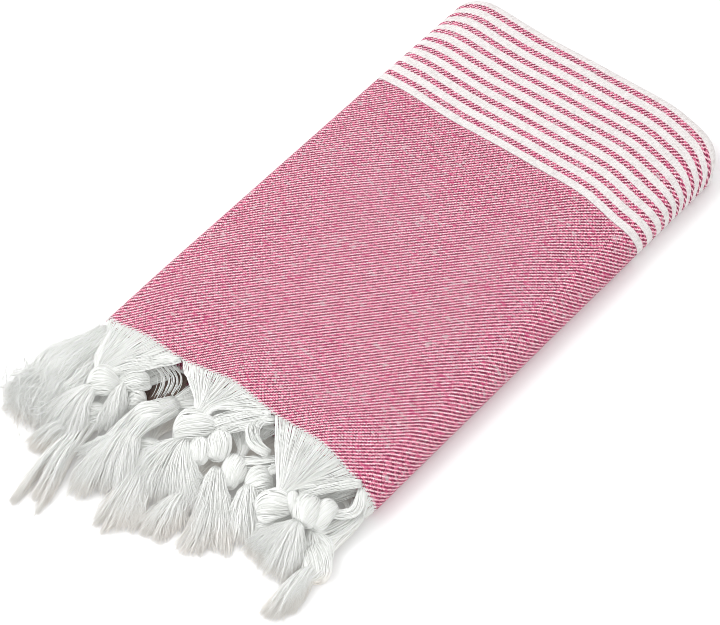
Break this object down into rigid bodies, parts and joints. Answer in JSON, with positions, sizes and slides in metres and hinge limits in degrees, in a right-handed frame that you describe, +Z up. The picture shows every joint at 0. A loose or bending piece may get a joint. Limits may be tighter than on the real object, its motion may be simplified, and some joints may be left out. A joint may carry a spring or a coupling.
{
  "type": "folded bath towel",
  "caption": "Flat-woven cotton bath towel with a knotted fringe, folded flat into a long pack, striped across its far end.",
  "frame": {"origin": "middle of the footprint of the whole folded towel with its fringe, on the surface it lies on", "axes": "+Z up out of the surface, +Y along the folded length from the fringed end to the far fold, +X across the pack"},
  "size_m": [0.2762, 0.5674, 0.0341],
  "materials": {
    "pink_cotton": "flat-woven cotton twill, crimson and white yarn, with white stripes at the far end",
    "white_cotton": "soft undyed cotton yarn, gathered and knotted"
  },
  "bodies": {
    "root": {"towel_cloth": "pink_cotton", "tassel_01": "white_cotton", "tassel_02": "white_cotton", "tassel_03": "white_cotton", "tassel_04": "white_cotton", "tassel_05": "white_cotton", "tassel_06": "white_cotton", "tassel_07": "white_cotton", "tassel_08": "white_cotton", "tassel_09": "white_cotton", "tassel_10": "white_cotton", "tassel_11": "white_cotton", "tassel_12": "white_cotton"}
  },
  "joints": []
}
